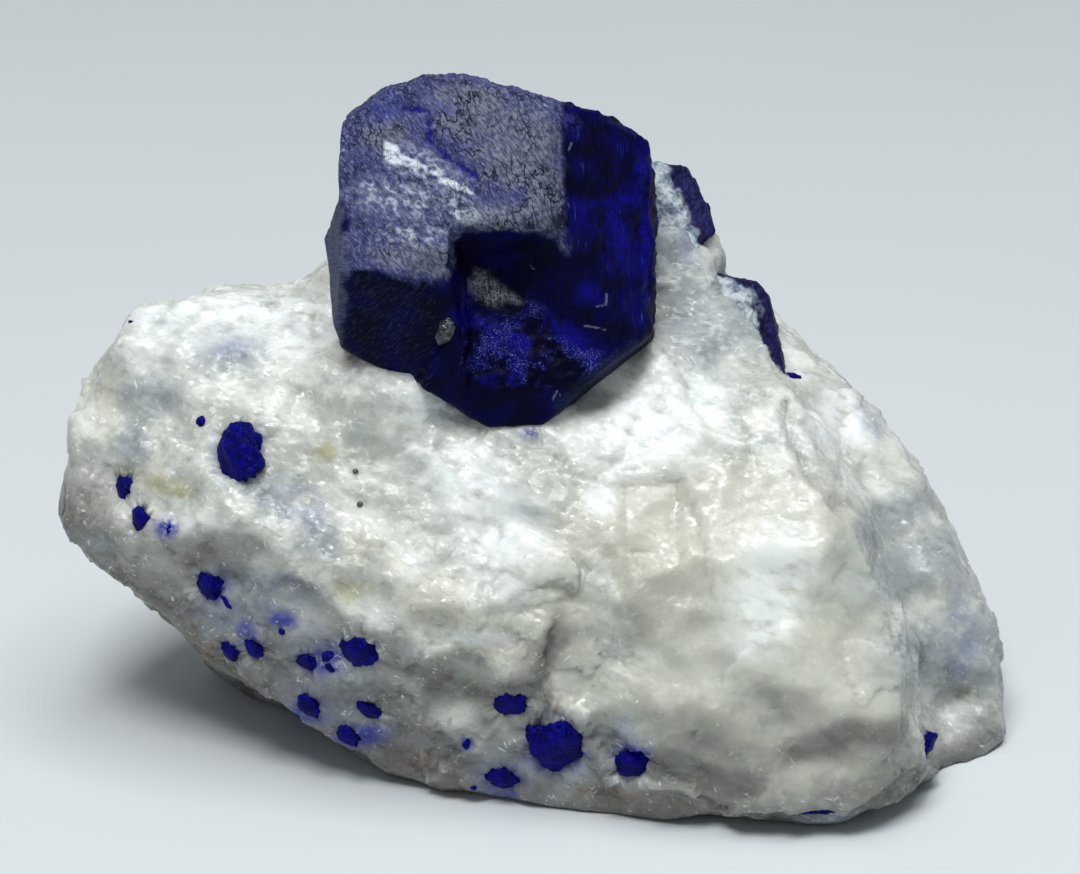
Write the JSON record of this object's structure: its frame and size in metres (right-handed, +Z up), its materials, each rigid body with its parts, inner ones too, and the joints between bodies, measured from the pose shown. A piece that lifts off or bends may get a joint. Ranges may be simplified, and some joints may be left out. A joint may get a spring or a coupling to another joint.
{
  "type": "lazurite crystal on matrix",
  "caption": "Mineral hand specimen: a large blunt dodecahedral lazurite crystal rooted in a lump of white calcite marble, with small lazurite crystals and grains.",
  "frame": {"origin": "on the flat face that it rests on, below the middle of the specimen", "axes": "+Z up from the resting face, +X along the longest side, towards the small crystals' end, +Y to the rear"},
  "size_m": [0.0648, 0.0392, 0.0467],
  "materials": {
    "marble": "coarse white calcite marble, broken, faintly translucent, with sparkling cleavage faces and pale blue stains",
    "lazurite": "deep violet-blue crystal faces, finely striated and pitted, with a soft vitreous sheen"
  },
  "bodies": {
    "root": {"matrix": "marble", "main_crystal": "lazurite", "back_crystal": "lazurite", "side_crystal": "lazurite", "lazurite_grain_01": "lazurite", "lazurite_grain_02": "lazurite", "lazurite_grain_03": "lazurite", "lazurite_grain_04": "lazurite", "lazurite_grain_05": "lazurite", "lazurite_grain_06": "lazurite", "lazurite_grain_07": "lazurite", "lazurite_grain_08": "lazurite", "lazurite_grain_09": "lazurite", "lazurite_grain_10": "lazurite", "lazurite_grain_11": "lazurite", "lazurite_grain_12": "lazurite", "lazurite_grain_13": "lazurite", "lazurite_grain_14": "lazurite", "lazurite_grain_15": "lazurite", "lazurite_grain_16": "lazurite"}
  },
  "joints": []
}
